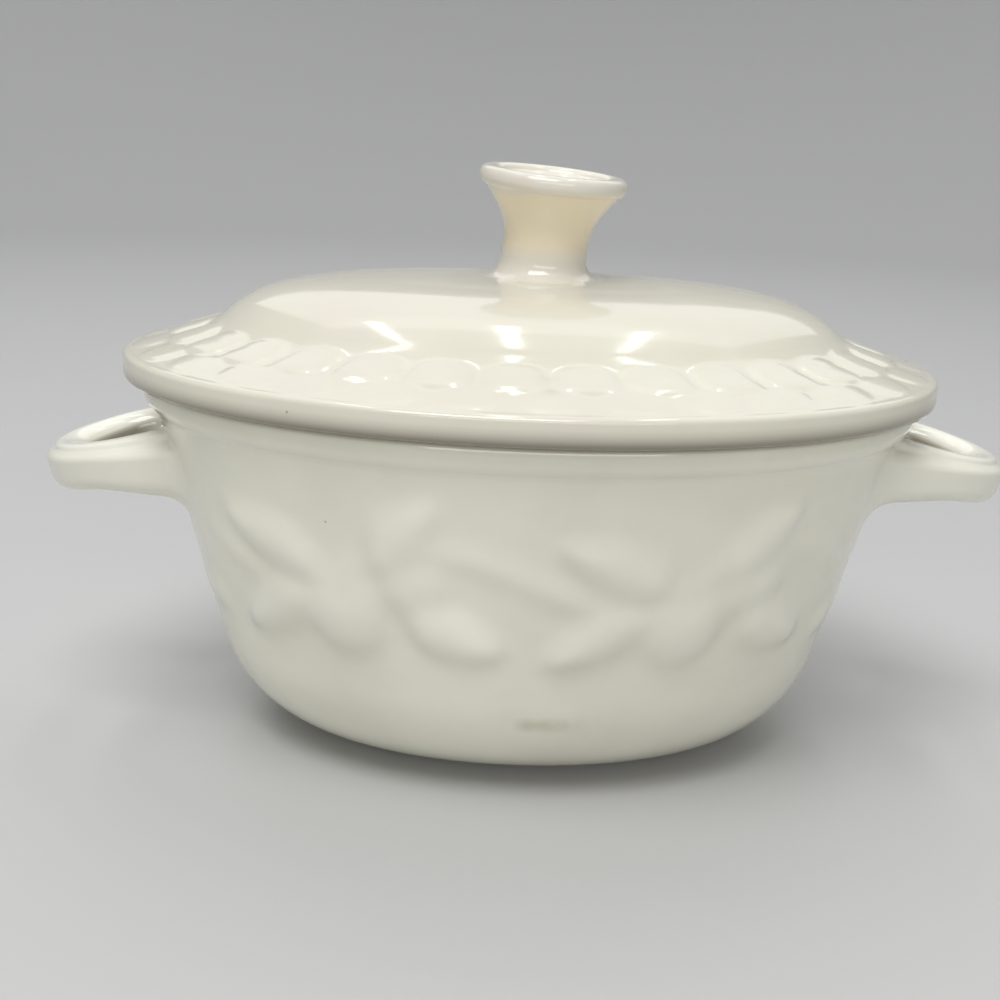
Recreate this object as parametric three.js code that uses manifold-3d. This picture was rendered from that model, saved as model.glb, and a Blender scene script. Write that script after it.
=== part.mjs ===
import * as THREE from 'three';
import { mergeVertices } from 'three/addons/utils/BufferGeometryUtils.js';
import Module from 'manifold-3d';

const wasm = await Module();
wasm.setup();

// An oval covered baking crock in glazed stoneware: pot, two loop ears, domed lid and knob.
// Millimetres and degrees, +Z up. The pot stands on z = 0, its long axis lies along X.

// Oval plan, measured over the edge of the lid
const lidLength = 185;
const lidWidth = 146;
const ovalCore = 42;
const turnSegments = 60;

// Pot
const potHeight = 85;
const lidOverhang = 4.4;
const wallDraft = 15;
const wallThickness = 6;
const cornerRadius = 34;
const floorThickness = 7;
const footWidth = 5;
const footRecess = 1.5;
const rimBand = 5;
const rimStand = 0.8;
const rimRound = 1.6;

// Lid
const seatGap = 0.3;
const edgeThickness = 6.3;
const edgeRound = 2.2;
const borderWidth = 17.6;
const borderRise = 5.1;
const domeRise = 12.7;
const domeWallAngle = 48;
const domeShoulder = 14.8;
const domeCrown = 51.6;
const lidWall = 5.7;
const flangeClearance = 1.2;
const flangeDepth = 5.5;
const flangeWall = 4.8;
const hollowShoulder = 17;

// Gadroon border of the lid: two rows of lobes, the inner one half a step on
const lobeCount = 30;
const lobeFacets = 6;
const outerLobe = { inset: 6.8, length: 9.6, height: 0.6, shift: 0 };
const innerLobe = { inset: 14.9, length: 10.6, height: 0.9, shift: 0.5 };
const borderLift = 0.2;
const borderSink = 1.5;
const borderRings = 8;

// Knob
const knobHeight = 23.8;
const knobFoot = 25.6;
const knobNeck = 19.2;
const knobNeckHeight = 7.6;
const knobLip = 33.4;
const lipHeight = 5.6;
const lipWidth = 3.4;
const dishDepth = 2.4;
const knobRoot = 3;
const knobLean = 4.5;
const knobOffset = 1.8;

// Ears
const earBelowRim = 10.1;
const earOffset = 2.3;
const earStand = 4;
const earReach = 19.1;
const earSpan = 37;
const earRoot = 14;
const earDroop = 14;
const strapThickness = 9.2;
const strapHeight = 11;
const strapUndercut = 2.2;
const strapRound = 3.3;
const rootHeight = 16.5;
const rootThickness = 13;
const flareRun = 24;
const earSteps = 26;

// Room for the slip that joins the ears to the pot and the knob to the lid
const luteGap = 0.3;

const rad = THREE.MathUtils.degToRad;
const draftTan = Math.tan(rad(wallDraft));
const draftCos = Math.cos(rad(wallDraft));

const lidReach = lidLength / 2;
const lidAcross = lidWidth / 2;
const ovalOffset = lidReach - lidAcross;

const rimReach = lidReach - lidOverhang;
const wallTop = rimReach - rimStand;
const mouthReach = wallTop - wallThickness / draftCos;

const earTop = potHeight - earBelowRim;
const seatZ = potHeight + seatGap;
const edgeTop = seatZ + edgeThickness;
const borderTop = edgeTop + borderRise;
const domeTop = borderTop + domeRise;
const borderReach = lidReach - edgeRound;
const domeReach = borderReach - borderWidth;
const borderPitch = Math.atan2(borderRise, borderWidth);
const flangeReach = mouthReach - flangeDepth * draftTan - flangeClearance;

// Reach of the pot's outer wall on the long axis at a height
function wallReach(height) {
  return wallTop - (potHeight - height) * draftTan;
}

// Turns a profile of reach and height round the oval. Every ring beyond the core keeps the same
// distance from the edge all the way round, and the core keeps one proportion.
function ovalTurn(profile, segments) {
  const geometry = new THREE.LatheGeometry(profile, segments);
  const place = geometry.attributes.position;
  for (let i = 0; i < place.count; i++) {
    const x = place.getX(i);
    const z = place.getZ(i);
    const reach = Math.max(Math.hypot(x, z), ovalCore);
    const squeeze = (reach - ovalOffset) / reach;
    place.setXYZ(i, x, -z * squeeze, place.getY(i));
  }
  return geometry;
}

// A closed solid from a geometry: shared corners merged, slivers at the axis dropped
function solid(geometry) {
  geometry.deleteAttribute('normal');
  geometry.deleteAttribute('uv');
  const merged = mergeVertices(geometry, 1e-4);
  const corners = merged.index.array;
  const triangles = [];
  for (let i = 0; i < corners.length; i += 3) {
    const [a, b, c] = corners.slice(i, i + 3);
    if (a !== b && b !== c && c !== a) {
      triangles.push(a, b, c);
    }
  }
  return new wasm.Manifold(new wasm.Mesh({
    numProp: 3,
    vertProperties: new Float32Array(merged.attributes.position.array),
    triVerts: new Uint32Array(triangles),
  }));
}

function glazed(name, body, color, roughness) {
  const shape = body.getMesh();
  const geometry = new THREE.BufferGeometry();
  geometry.setAttribute('position', new THREE.BufferAttribute(shape.vertProperties, 3));
  geometry.setIndex(new THREE.BufferAttribute(shape.triVerts, 1));
  geometry.computeVertexNormals();
  const material = new THREE.MeshStandardMaterial({ color, roughness, metalness: 0 });
  const mesh = new THREE.Mesh(geometry, material);
  mesh.name = name;
  return mesh;
}

// Outside of the pot from the foot ring to the rim, grown sideways by a clearance
function potOutside(grow) {
  const cornerReach = wallReach(cornerRadius) - cornerRadius / draftCos + grow;
  const footReach = cornerReach - footWidth;
  const bandFoot = potHeight - rimBand;
  const rim = rimReach + grow;
  const path = new THREE.Path();
  path.moveTo(0, footRecess);
  path.lineTo(footReach - footRecess, footRecess);
  path.lineTo(footReach, 0);
  path.lineTo(cornerReach, 0);
  path.absarc(cornerReach, cornerRadius, cornerRadius, -Math.PI / 2, -rad(wallDraft), false);
  path.lineTo(wallReach(potHeight / 2) + grow, potHeight / 2);
  path.lineTo(wallReach(bandFoot - rimRound) + grow, bandFoot - rimRound);
  path.quadraticCurveTo(rim, bandFoot, rim, bandFoot + rimRound);
  path.lineTo(rim, potHeight - rimRound);
  path.quadraticCurveTo(rim, potHeight, rim - rimRound, potHeight);
  return path;
}

function potBody() {
  const floorTop = footRecess + floorThickness;
  const bowlRadius = cornerRadius - wallThickness;
  const bowlTop = mouthReach - (potHeight - floorTop - bowlRadius) * draftTan;
  const bowlReach = bowlTop - bowlRadius / draftCos;
  const path = potOutside(0);
  path.lineTo(mouthReach + rimRound, potHeight);
  path.quadraticCurveTo(mouthReach, potHeight, mouthReach - rimRound * draftTan, potHeight - rimRound);
  path.absarc(bowlReach, floorTop + bowlRadius, bowlRadius, -rad(wallDraft), -Math.PI / 2, true);
  path.lineTo(0, floorTop);
  return solid(ovalTurn(path.getPoints(3), turnSegments));
}

// Section of an ear's strap: outward along x, down from y = 0, with the lower outer edge drawn in
function strapSection() {
  const half = strapThickness / 2;
  const low = half - strapUndercut;
  const round = Math.min(strapRound, 0.45 * (half + low));
  const section = new THREE.Shape();
  section.moveTo(-half + round, -strapHeight);
  section.lineTo(low - round, -strapHeight);
  section.quadraticCurveTo(low, -strapHeight, low + strapUndercut / 3, round - strapHeight);
  section.lineTo(half, -round);
  section.quadraticCurveTo(half, 0, half - round, 0);
  section.lineTo(-half + round, 0);
  section.quadraticCurveTo(-half, 0, -half, -round);
  section.lineTo(-half, round - strapHeight);
  section.quadraticCurveTo(-half, -strapHeight, -half + round, -strapHeight);
  return section;
}

// A loop ear at the +X end: the strap leaves the wall, rounds the nose and comes back. Its top
// droops outwards, and it grows deeper and thicker where it meets the wall.
function ear(top) {
  const hub = wallReach(earTop) + earStand;
  const root = hub - earRoot;
  const flareStart = root + flareRun;
  const route = new THREE.Path();
  route.moveTo(root, earSpan / 2);
  route.lineTo(hub, earSpan / 2);
  route.absellipse(hub, 0, earReach, earSpan / 2, Math.PI / 2, -Math.PI / 2, true);
  route.lineTo(root, -earSpan / 2);
  const strap = new THREE.ExtrudeGeometry(strapSection(), {
    depth: 1,
    steps: earSteps,
    bevelEnabled: false,
    curveSegments: 3,
  });
  const place = strap.attributes.position;
  for (let i = 0; i < place.count; i++) {
    const along = place.getZ(i);
    const at = route.getPoint(along);
    const heading = route.getTangent(along);
    const flare = THREE.MathUtils.smoothstep(flareStart - at.x, 0, flareRun);
    const out = place.getX(i) * THREE.MathUtils.lerp(1, rootThickness / strapThickness, flare);
    const down = place.getY(i) * THREE.MathUtils.lerp(1, rootHeight / strapHeight, flare);
    const droop = (at.x - hub) * Math.tan(rad(earDroop));
    place.setXYZ(i, at.x - heading.y * out, at.y + heading.x * out, top - droop + down);
  }
  const wall = potOutside(luteGap);
  wall.lineTo(0, potHeight);
  return solid(strap).subtract(solid(ovalTurn(wall.getPoints(3), turnSegments)));
}

// Profile of the lid, from the middle of its hollow round the edge to the top of the dome
function lidProfile() {
  const hollowTop = domeTop - lidWall;
  const hollowReach = flangeReach - flangeWall;
  const rise = new THREE.Vector2(-Math.cos(rad(domeWallAngle)), Math.sin(rad(domeWallAngle)));
  const path = new THREE.Path();
  path.moveTo(0, hollowTop);
  path.bezierCurveTo(
    domeCrown, hollowTop,
    domeReach - lidWall, hollowTop - lidWall / 2,
    hollowReach, hollowTop - hollowShoulder,
  );
  path.lineTo(hollowReach, seatZ - flangeDepth);
  path.lineTo(flangeReach, seatZ - flangeDepth);
  path.lineTo(flangeReach + flangeDepth * draftTan, seatZ);
  path.lineTo(lidReach - edgeRound, seatZ);
  path.quadraticCurveTo(lidReach, seatZ, lidReach, seatZ + edgeRound);
  path.lineTo(lidReach, edgeTop - edgeRound);
  path.quadraticCurveTo(lidReach, edgeTop, borderReach, edgeTop);
  path.lineTo(domeReach, borderTop);
  path.bezierCurveTo(
    domeReach + rise.x * domeShoulder, borderTop + rise.y * domeShoulder,
    domeCrown, domeTop,
    0, domeTop,
  );
  return path.getPoints(4);
}

// Height of one row's lobes over the slope, at a share of the way round and an inset from the edge
function lobeHeight(row, along, inset) {
  const step = along * lobeCount + row.shift;
  const across = 2 * (step - Math.round(step));
  const inward = (inset - row.inset) / (row.length / 2);
  return row.height * Math.sqrt(Math.max(0, 1 - across ** 2 - inward ** 2));
}

// The gadroon border: a ring sunk into the slope of the lid, its top raised into both rows of lobes.
// The lobes are spaced evenly along the oval.
function gadroonRing() {
  const first = edgeRound + borderLift;
  const last = edgeRound + borderWidth + borderSink;
  const insets = [];
  for (let i = 0; i <= borderRings; i++) {
    insets.push(THREE.MathUtils.lerp(first, last, i / borderRings));
  }
  const slope = (inset) => edgeTop + (inset - edgeRound) * Math.tan(borderPitch);
  const top = insets.map((inset) => new THREE.Vector2(lidReach - inset, slope(inset) + borderLift));
  const base = [last, first].map((inset) => new THREE.Vector2(lidReach - inset, slope(inset) - borderSink));
  const profile = [base[1], ...top, ...base];
  const ovals = profile.map((point) => new THREE.EllipseCurve(0, 0, point.x, point.x - ovalOffset));
  const segments = lobeCount * lobeFacets;
  const ring = new THREE.LatheGeometry(profile, segments);
  const place = ring.attributes.position;
  for (let i = 0; i < place.count; i++) {
    const along = Math.floor(i / profile.length) / segments;
    const row = i % profile.length;
    const at = ovals[row].getPointAt(along);
    const inset = lidReach - profile[row].x;
    const onTop = row > 0 && row <= top.length;
    const lobe = Math.max(lobeHeight(outerLobe, along, inset), lobeHeight(innerLobe, along, inset));
    place.setXYZ(i, at.x, at.y, profile[row].y + (onTop ? lobe : 0));
  }
  return solid(ring);
}

function lid() {
  return solid(ovalTurn(lidProfile(), turnSegments)).add(gadroonRing());
}

// Flared knob with a rounded lip and a dished top, a little off the middle, leaning, fitted to the dome
function knob() {
  const foot = knobFoot / 2;
  const neck = knobNeck / 2;
  const lip = knobLip / 2;
  const lipFoot = knobHeight - lipHeight;
  const path = new THREE.Path();
  path.moveTo(0, -knobRoot);
  path.lineTo(foot, -knobRoot);
  path.lineTo(foot, 0);
  path.bezierCurveTo(neck + 1, 1, neck, knobNeckHeight / 2, neck, knobNeckHeight);
  path.bezierCurveTo(neck, lipFoot - lipHeight, lip - lipWidth, lipFoot - lipWidth, lip - 1, lipFoot);
  path.quadraticCurveTo(lip, lipFoot + lipHeight / 4, lip, lipFoot + lipHeight / 2);
  path.quadraticCurveTo(lip, knobHeight, lip - lipWidth / 2, knobHeight);
  path.quadraticCurveTo(lip - lipWidth, knobHeight, lip - lipWidth, knobHeight - dishDepth / 2);
  path.quadraticCurveTo(lip / 2, knobHeight - dishDepth, 0, knobHeight - dishDepth);
  const turned = new THREE.LatheGeometry(path.getPoints(3), 32);
  turned.rotateX(Math.PI / 2);
  turned.rotateY(rad(knobLean));
  turned.translate(knobOffset, 0, domeTop);
  const dome = ovalTurn(lidProfile(), turnSegments);
  dome.translate(0, 0, luteGap);
  return solid(turned).subtract(solid(dome));
}

const handleLeft = glazed('handle_left', ear(earTop - earOffset), 0xe6e2d6, 0.14);
handleLeft.rotation.z = Math.PI;

const crock = new THREE.Group();
crock.add(
  glazed('pot_body', potBody(), 0xdcd8ca, 0.16),
  handleLeft,
  glazed('handle_right', ear(earTop + earOffset), 0xe6e2d6, 0.14),
  glazed('lid', lid(), 0xe0dbcc, 0.13),
  glazed('lid_knob', knob(), 0xe6dac0, 0.13),
);

export default crock;
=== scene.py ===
"""An oval covered baking crock in ivory glazed stoneware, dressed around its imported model.

Metres, +Z up. The pot stands on z = 0, its long axis lies along X and its front faces -Y.
"""

import math

import bmesh
import bpy
import numpy as np
from bpy.props import FloatProperty, FloatVectorProperty, IntProperty, PointerProperty
from mathutils import Matrix, Vector


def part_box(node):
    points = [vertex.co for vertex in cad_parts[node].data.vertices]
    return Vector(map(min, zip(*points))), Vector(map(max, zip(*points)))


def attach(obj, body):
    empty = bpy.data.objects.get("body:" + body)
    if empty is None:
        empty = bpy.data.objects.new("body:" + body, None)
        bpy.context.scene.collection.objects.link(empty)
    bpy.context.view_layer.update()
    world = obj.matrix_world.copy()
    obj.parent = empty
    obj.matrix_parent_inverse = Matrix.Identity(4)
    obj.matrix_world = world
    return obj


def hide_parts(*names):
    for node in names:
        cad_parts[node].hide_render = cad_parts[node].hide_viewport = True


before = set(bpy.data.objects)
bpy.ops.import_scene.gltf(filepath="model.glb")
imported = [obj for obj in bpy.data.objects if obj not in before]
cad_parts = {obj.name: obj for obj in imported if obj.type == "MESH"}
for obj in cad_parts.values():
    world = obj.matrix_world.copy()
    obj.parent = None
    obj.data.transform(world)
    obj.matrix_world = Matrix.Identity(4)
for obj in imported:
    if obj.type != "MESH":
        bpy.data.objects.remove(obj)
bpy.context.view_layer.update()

bl_info = {
    "name": "Oval Covered Crock",
    "version": (1, 0, 0),
    "blender": (4, 5, 0),
    "location": "View3D > Sidebar > Crock",
    "description": "Builds a glazed oval baking crock with its lid, ears and knob",
    "category": "Add Mesh",
}

POT_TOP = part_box("pot_body")[1]
LID_LOW, LID_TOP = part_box("lid")
KNOB_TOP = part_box("lid_knob")[1]
EAR_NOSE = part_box("handle_right")[1].x
OVAL_OFFSET = LID_TOP.x - LID_TOP.y


# Property helpers


def length(name, description, metres):
    return FloatProperty(
        name=name, description=description, default=metres, precision=5, subtype="DISTANCE"
    )


def angle(name, description, degrees):
    turn = math.radians(degrees)
    return FloatProperty(name=name, description=description, default=turn, subtype="ANGLE")


def share(name, description, value):
    return FloatProperty(name=name, description=description, default=value, subtype="FACTOR")


def count(name, description, number):
    return IntProperty(name=name, description=description, default=number, min=1)


def colour(name, description, *linear):
    return FloatVectorProperty(
        name=name, description=description, default=linear, min=0.0, max=1.0, subtype="COLOR"
    )


class PotSizes(bpy.types.PropertyGroup):
    """Sizes of the pot and of the relief on its wall"""

    oval_core: length("Oval core", "Reach inside which the rings keep one proportion", 0.042)
    draft: angle("Draft", "Slope of the wall from the vertical", 15)
    wall: length("Wall", "Thickness of the wall", 0.006)
    corner: length("Corner", "Radius of the lower corner", 0.034)
    floor: length("Floor", "Thickness of the floor", 0.007)
    foot_width: length("Foot width", "Width of the foot ring", 0.005)
    foot_recess: length("Foot recess", "Height of the recess inside the foot ring", 0.0015)
    rim_band: length("Rim band", "Height of the collar under the lid", 0.005)
    rim_stand: length("Rim stand", "How far the collar stands off the wall", 0.0008)
    rim_round: length("Rim round", "Rounding of the collar", 0.0018)
    lip_round: length("Lip round", "Height of the rounded upper corner of the collar", 0.003)
    relief: length("Relief", "Height of the leaves and fruits on the wall", 0.0022)
    relief_middle: length("Relief middle", "Height of the garland's middle over the table", 0.051)
    relief_blur: length("Relief blur", "How far the glaze softens the relief", 0.0019)
    repeats: count("Repeats", "Number of times the garland repeats round the pot", 6)


class EarSizes(bpy.types.PropertyGroup):
    """Sizes of the two loop ears"""

    below_rim: length("Below the rim", "Depth of the strap's top under the rim", 0.0101)
    offset: length("Offset", "How far the right ear sits above and the left below that", 0.0023)
    stand: length("Stand", "Straight run of the legs outside the wall", 0.004)
    span: length("Span", "Distance of the two legs", 0.037)
    root: length("Root", "How far the legs run back into the wall", 0.026)
    droop: angle("Droop", "Slope of the strap's top", 14)
    thickness: length("Thickness", "Thickness of the strap", 0.0092)
    height: length("Height", "Height of the strap", 0.011)
    undercut: length("Undercut", "How far the lower outer edge is drawn in", 0.0022)
    rounding: length("Rounding", "Rounding of the strap's edges", 0.0033)
    crease: length("Crease", "Rounding of the upper outer edge", 0.0022)
    shed: length("Shed", "How far the strap's top falls towards its outer edge", 0.0016)
    inner_round: length("Inner round", "Rounding of the upper inner edge", 0.0055)
    root_height: length("Root height", "Height of the strap at the wall", 0.0165)
    root_thickness: length("Root thickness", "Thickness of the strap at the wall", 0.013)
    flare: length("Flare", "Run over which the strap grows towards the wall", 0.024)
    flare_end: length("Flare end", "Where the flare ends, inside the hub", 0.014)
    fillet: length("Fillet", "Radius of the glaze fillet at the wall", 0.0042)
    top_fillet: length("Top fillet", "Radius of the fillet over the strap", 0.0014)
    low_fillet: length("Low fillet", "Radius of the fillet under the strap", 0.0056)


class LidSizes(bpy.types.PropertyGroup):
    """Sizes of the lid and of the gadroon border on it"""

    seat_gap: length("Seat gap", "Gap between the rim and the lid", 0.0003)
    edge: length("Edge", "Thickness of the lid's edge", 0.0063)
    edge_round: length("Edge round", "Depth of the rounded upper corner of the edge", 0.0022)
    edge_corner: length("Edge corner", "Height of the rounded upper corner of the edge", 0.0014)
    edge_under: length("Edge under", "Rounding of the lower corner of the edge", 0.0018)
    border: length("Border", "Width of the sloping border", 0.0176)
    border_rise: length("Border rise", "Rise of the border", 0.0051)
    dome_wall: angle("Dome wall", "Slope at the foot of the dome", 48)
    dome_shoulder: length("Dome shoulder", "Length of the dome's lower pull", 0.0148)
    dome_crown: length("Dome crown", "Reach of the dome's upper pull", 0.0516)
    foot_soft: length("Foot soft", "Reach of the soft bend at the foot of the dome", 0.0042)
    wall: length("Wall", "Thickness of the dome", 0.0057)
    flange_wall: length("Flange wall", "Thickness of the flange that sits in the mouth", 0.0048)
    flange_clearance: length("Flange clearance", "Gap between the flange and the mouth", 0.0012)
    hollow_shoulder: length("Hollow shoulder", "Drop of the hollow from its top to its side", 0.017)
    lobes: count("Lobes", "Number of lobes in each row of the border", 30)
    lobe_columns: count("Lobe columns", "Columns of the mesh in each lobe", 22)
    lobe_turn: share("Lobe turn", "Share of a step by which the lobes are turned", 0.82)
    inner_inset: length("Inner inset", "Distance of the inner lobes' middle from the edge", 0.0149)
    inner_length: length("Inner length", "Length of the inner lobes", 0.0106)
    inner_height: length("Inner height", "Height of the inner lobes", 0.0008)
    outer_inset: length("Outer inset", "Distance of the outer lobes' middle from the edge", 0.0068)
    outer_length: length("Outer length", "Length of the outer lobes", 0.0096)
    outer_height: length("Outer height", "Height of the outer lobes", 0.00035)
    lobe_blur: length("Lobe blur", "How far the glaze softens the lobes", 0.0005)


class KnobSizes(bpy.types.PropertyGroup):
    """Sizes of the knob"""

    height: length("Height", "Height of the knob over the dome", 0.02355)
    neck: length("Neck", "Diameter of the neck", 0.0192)
    neck_height: length("Neck height", "Height of the narrowest place", 0.0076)
    lip: length("Lip", "Diameter of the lip", 0.0334)
    bead: length("Bead", "Height of the bead round the lip", 0.0042)
    bead_width: length("Bead width", "Width of the bead", 0.0036)
    dish: length("Dish", "Depth of the dished top", 0.0024)
    lean: angle("Lean", "Lean of the knob to the right", 4.5)
    nod: angle("Nod", "Lean of the knob to the front", 2.5)
    offset: length("Offset", "How far the knob stands right of the middle", 0.0018)
    fillet: length("Fillet", "Width of the glaze fillet round the neck", 0.0042)


class GlazeColours(bpy.types.PropertyGroup):
    """Colours of the glaze and of the bare clay, linear"""

    wall: colour("Wall", "Glaze on the pot", 0.84, 0.83, 0.705)
    ear: colour("Ear", "Glaze on the ears", 0.83, 0.82, 0.715)
    lid: colour("Lid", "Glaze on the lid", 0.72, 0.695, 0.58)
    knob: colour("Knob", "Glaze on the knob", 0.78, 0.75, 0.65)
    # Warm is a tone laid by height over the knob's neck and flare, under the bead
    warm: colour("Warm", "Glaze where it lies thick under the knob's flare", 0.87, 0.75, 0.53)
    pooled: colour("Pooled", "Glaze that has run into a hollow", 0.60, 0.575, 0.46)
    # Deep is painted shade on the collar's top, the lid's lower edge and the inside of the ear
    # loops
    deep: colour("Deep", "Glaze that lies thick in a corner", 0.20, 0.175, 0.13)
    # The next tone is thinner glaze on raised relief, and painted light on the ears' tops
    thin_and_painted_light: colour("Thin", "Glaze that has run off a crest", 0.93, 0.92, 0.84)
    blush: colour("Blush", "Pinkish grey clouds in the glaze", 0.66, 0.60, 0.53)
    speck: colour("Speck", "Iron specks", 0.24, 0.16, 0.10)
    clay: colour("Clay", "Bare clay of the foot ring", 0.56, 0.47, 0.36)
    stain: colour("Stain", "Brown stain near the foot", 0.46, 0.39, 0.24)


class StageSizes(bpy.types.PropertyGroup):
    """Camera and the colour of the floor"""

    distance: length("Distance", "Distance of the camera from its target", 0.33255)
    target_height: length("Target height", "Height of the camera's target", 0.06)
    azimuth: angle("Azimuth", "Turn of the camera about the crock", -1.601)
    elevation: angle("Elevation", "Height of the camera over the horizon", 14.452)
    pan: angle("Pan", "Turn of the camera to the right of its target", -0.971)
    tilt: angle("Tilt", "Turn of the camera above its target", -0.680)
    roll: angle("Roll", "Roll of the camera", 2.496)
    lens: FloatProperty(
        name="Lens", description="Focal length for a 36 mm sensor", default=50.34, unit="CAMERA"
    )
    floor: colour("Floor", "Colour of the floor and the backdrop", 0.55, 0.55, 0.545)


# Curves and grids

# Least divisors, and the distance at which two ends count as one point
TINY = 1e-12
THIN = 1e-6
TOUCHING = 1e-8

RING_SAMPLES = 3600
BLUR_REACH = 3


def line(start, end, steps):
    along = np.linspace(0, 1, steps + 1)[:, None]
    return (1 - along) * np.array(start) + along * np.array(end)


def arc(centre, radius, first, last, steps):
    turn = np.linspace(first, last, steps + 1)
    return np.array(centre) + radius * np.stack([np.cos(turn), np.sin(turn)], 1)


def bezier(a, b, c, d, steps):
    t = np.linspace(0, 1, steps + 1)
    weights = ((1 - t) ** 3, 3 * (1 - t) ** 2 * t, 3 * (1 - t) * t**2, t**3)
    return sum(np.multiply.outer(w, np.array(p)) for w, p in zip(weights, (a, b, c, d)))


def bend(start, corner, end, steps):
    """A rounded corner from start to end"""
    start, corner, end = (np.array(p) for p in (start, corner, end))
    return bezier(start, (start + 2 * corner) / 3, (2 * corner + end) / 3, end, steps)


def joined(*runs):
    """One path from runs that follow each other, with shared ends kept once"""
    path = [runs[0]]
    for run in runs[1:]:
        meets = np.allclose(run[0], path[-1][-1], atol=TOUCHING)
        path.append(run[1:] if meets else run)
    return np.concatenate(path)


def travelled(path):
    """Distance along a path at each of its points"""
    return np.concatenate([[0], np.cumsum(np.linalg.norm(np.diff(path, axis=0), axis=1))])


def even(path, steps):
    """A closed path resampled in even steps"""
    closed = np.concatenate([path, path[:1]])
    travel = travelled(closed)
    wanted = np.linspace(0, travel[-1], steps, endpoint=False)
    return np.stack([np.interp(wanted, travel, closed[:, k]) for k in range(2)], 1)


def unit(vectors):
    return vectors / np.maximum(np.linalg.norm(vectors, axis=-1, keepdims=True), TINY)


def flattened(vectors, normal):
    """Unit vectors with their part along the normal taken out"""
    return unit(vectors - np.sum(vectors * normal, -1, keepdims=True) * normal)


def turned(first, second, turn):
    """Two axes turned in their own plane"""
    cos, sin = math.cos(turn), math.sin(turn)
    return first * cos - second * sin, first * sin + second * cos


def smooth(value):
    value = np.clip(value, 0, 1)
    return value * value * (3 - 2 * value)


def squeeze(reach, core):
    """Width of a ring as a share of its reach"""
    reach = np.maximum(reach, core)
    return (reach - OVAL_OFFSET) / reach


def full_turn(steps):
    return np.linspace(0, 2 * np.pi, steps, endpoint=False)


def oval_turn(profile, turns, core):
    """Grid of points: a profile of reach and height turned round the oval"""
    reach, height = profile[:, :1], profile[:, 1:]
    x = reach * np.cos(turns)
    y = reach * squeeze(reach, core) * np.sin(turns)
    return np.stack([x, y, np.broadcast_to(height, x.shape)], -1)


def round_turn(profile, turns):
    """Grid of points: a profile of reach and height turned round a circle"""
    x, y = profile[:, :1] * np.cos(turns), profile[:, :1] * np.sin(turns)
    return np.stack([x, y, np.broadcast_to(profile[:, 1:], x.shape)], -1)


def even_turns(reach, core, steps):
    """Turns that space columns evenly along the ring at a reach"""
    fine = np.linspace(0, 2 * np.pi, RING_SAMPLES + 1)
    travel = travelled(oval_turn(np.array([[reach, 0.0]]), fine, core)[0])
    wanted = np.linspace(0, travel[-1], steps, endpoint=False)
    return np.interp(wanted, travel, fine), travel[-1]


def grid_normals(grid):
    """Outward normals of a grid whose columns close round"""
    around = np.roll(grid, -1, 1) - np.roll(grid, 1, 1)
    along = np.gradient(grid, axis=0)
    return unit(np.cross(around, along))


def blurred(field, sigma, axis):
    """A field softened along one axis, closed round on axis 1. Sigma is in samples."""
    reach = max(1, int(BLUR_REACH * sigma))
    steps = np.arange(-reach, reach + 1)
    weights = np.exp(-0.5 * (steps / sigma) ** 2)
    pads = [(0, 0), (0, 0)]
    pads[axis] = (reach, reach)
    padded = np.pad(field, pads, mode="wrap" if axis == 1 else "edge")
    size = field.shape[axis]
    parts = (w * np.take(padded, np.arange(k, k + size), axis) for k, w in enumerate(weights))
    return sum(parts) / weights.sum()


def softened(field, blur, column, row):
    """A field softened over a length, with the sizes of a column and a row of its grid"""
    return blurred(blurred(field, blur / column, 1), blur / row, 0)


def ring_faces(index):
    """Quads between rings of point numbers whose columns close round"""
    right = np.roll(index, -1, 1)
    quads = np.stack([index[:-1], right[:-1], right[1:], index[1:]], -1)
    return quads.reshape(-1, 4).tolist()


def grid_object(name, grid, first_pole, last_pole, crest=None):
    """A closed mesh from a grid of rings with a pole at each end

    Crest is above 0 where the glaze runs thinner over raised relief and where painted light
    brightens the ears' tops, and below 0 where painted shade darkens the collar's top, the lid's
    lower edge and the inside of the ear loops.
    """
    rings, columns = grid.shape[:2]
    index = np.arange(rings * columns).reshape(rings, columns)
    points = [*grid.reshape(-1, 3).tolist(), tuple(first_pole), tuple(last_pole)]
    first_ring, last_ring = index[0].tolist(), index[-1].tolist()
    first_tip, last_tip = rings * columns, rings * columns + 1
    faces = ring_faces(index)
    faces += [(b, a, first_tip) for a, b in zip(first_ring, first_ring[1:] + first_ring[:1])]
    faces += [(a, b, last_tip) for a, b in zip(last_ring, last_ring[1:] + last_ring[:1])]
    mesh = bpy.data.meshes.new(name)
    mesh.from_pydata(points, [], faces)
    if crest is not None:
        attribute = mesh.attributes.new("crest", "FLOAT", "POINT")
        attribute.data.foreach_set("value", np.append(crest.ravel(), [0, 0]).astype(np.float32))
    shape = bmesh.new()
    shape.from_mesh(mesh)
    bmesh.ops.recalc_face_normals(shape, faces=shape.faces)
    shape.to_mesh(mesh)
    shape.free()
    mesh.shade_smooth()
    return add_object(name, mesh)


def add_object(name, data):
    thing = bpy.data.objects.new(name, data)
    bpy.context.scene.collection.objects.link(thing)
    return thing


def dress(thing, body, slot, node, *materials):
    """Gives a piece its materials, and makes it ride on its body in place of the plain node"""
    for material in materials:
        thing.data.materials.append(material)
    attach(thing, body)
    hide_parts(node)


# Fillets: how far they pull before they turn, and how far and deep their last two rings lie

FILLET_PULL = 0.6
SKIM_RING = (0.0008, 0.00006)
DEEP_RING = (0.0012, 0.0005)


def tucked(landing, ahead, normal):
    """Two rings that carry a fillet on past its landing: one just under the surface, one deep"""
    return np.stack([landing + ahead * on - normal * under for on, under in (SKIM_RING, DEEP_RING)])


# Pot

POT_COLUMNS = 480
FLOOR_POLE = 0.004
LANDING_PASSES = 4
SLOPE_STEP = 2e-5

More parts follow.
